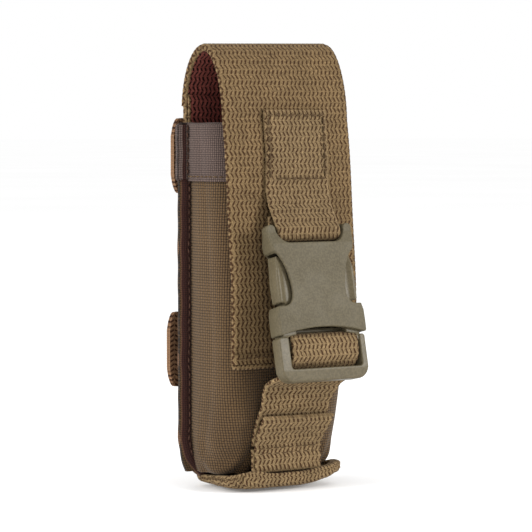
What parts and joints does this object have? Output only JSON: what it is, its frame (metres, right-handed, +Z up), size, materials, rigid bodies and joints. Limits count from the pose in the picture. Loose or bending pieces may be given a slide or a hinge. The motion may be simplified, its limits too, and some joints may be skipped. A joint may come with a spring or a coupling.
{
  "type": "webbing tool pouch",
  "caption": "Narrow fabric tool pouch closed by an arched webbing flap, with an adjustable strap and side-release buckle, and a snap strap behind.",
  "frame": {"origin": "middle of the rear face of the upper back band, the face that rests on the carrier", "axes": "+Z up along the pouch, +Y out of its back towards the carrier, +X to the pouch's left seen from the wearer, the right of a front view"},
  "size_m": [0.0584, 0.0561, 0.1475],
  "materials": {
    "webbing": "khaki nylon webbing in a coarse zigzag weave",
    "cordura": "coyote brown coated nylon in a plain weave, dull",
    "hem_tape": "grey-brown woven tape",
    "binding": "brown binding tape",
    "buckle_plastic": "olive-tan moulded acetal, satin with a fine grain",
    "snap_metal": "dark brown lacquered brass"
  },
  "bodies": {
    "pocket": {"back_panel": "cordura", "back_webbing": "webbing", "body_shell": "cordura", "mouth_hem_tape": "hem_tape", "seam_binding_left": "binding", "seam_binding_right": "binding", "base_webbing": "webbing", "back_band_upper": "webbing", "back_band_lower": "webbing", "attachment_strap_anchor": "webbing", "snap_post": "snap_metal", "lower_strap_anchor": "webbing"},
    "flap_rear": {"flap_arch": "webbing"},
    "flap_front": {"flap_front": "webbing", "flap_tip": "webbing", "flap_hem": "webbing", "upper_strap": "webbing"},
    "strap_link": {"upper_strap_loop": "webbing"},
    "buckle_female": {"buckle_female": "buckle_plastic"},
    "lower_strap": {"lower_strap": "webbing", "lower_strap_tab": "webbing"},
    "buckle_male": {"buckle_male_frame": "buckle_plastic", "ladder_loop": "webbing"},
    "prong_left": {"buckle_prong_left": "buckle_plastic"},
    "prong_right": {"buckle_prong_right": "buckle_plastic"},
    "snap_strap": {"attachment_strap": "webbing", "snap_socket": "snap_metal", "snap_cap": "snap_metal"}
  },
  "joints": [
    {"name": "flap_hinge", "type": "hinge", "parent": "pocket", "child": "flap_rear", "pos_m": [0, -0.0024, 0.017], "axis": [-1, 0, 0], "range_deg": [0, 90], "deforming": ["flap_tip", "flap_hem"]},
    {"name": "flap_unroll", "type": "hinge", "parent": "flap_rear", "child": "flap_front", "pos_m": [0, -0.0157, 0.0375], "axis": [-1, 0, 0], "range_deg": [0, 100]},
    {"name": "upper_strap_flex", "type": "hinge", "parent": "flap_front", "child": "strap_link", "pos_m": [0, -0.0341, -0.0116], "axis": [-1, 0, 0], "range_deg": [0, 60]},
    {"name": "female_pivot", "type": "hinge", "parent": "strap_link", "child": "buckle_female", "pos_m": [0, -0.03898, -0.02514], "axis": [-1, 0, 0], "range_deg": [0, 40]},
    {"name": "lower_strap_swing", "type": "hinge", "parent": "pocket", "child": "lower_strap", "pos_m": [0, -0.0301, -0.0968], "axis": [1, 0, 0], "range_deg": [0, 90]},
    {"name": "buckle_release", "type": "slide", "parent": "lower_strap", "child": "buckle_male", "axis": [0, -0.2199, -0.9755], "range_m": [0, 0.027], "deforming": ["lower_strap"]},
    {"name": "prong_left_squeeze", "type": "hinge", "parent": "buckle_male", "child": "prong_left", "pos_m": [0.013, -0.04624, -0.05733], "axis": [0, -0.9755, 0.2199], "range_deg": [0, 9], "stiffness_Nm_per_rad": 0.02, "deforming": ["buckle_prong_left"]},
    {"name": "prong_right_squeeze", "type": "hinge", "parent": "buckle_male", "child": "prong_right", "pos_m": [-0.013, -0.04624, -0.05733], "axis": [0, 0.9755, -0.2199], "range_deg": [0, 9], "stiffness_Nm_per_rad": 0.02, "deforming": ["buckle_prong_right"]},
    {"name": "snap_strap_hinge", "type": "hinge", "parent": "pocket", "child": "snap_strap", "pos_m": [0, -0.00035, -0.02183], "axis": [1, 0, 0], "range_deg": [0, 90]}
  ]
}
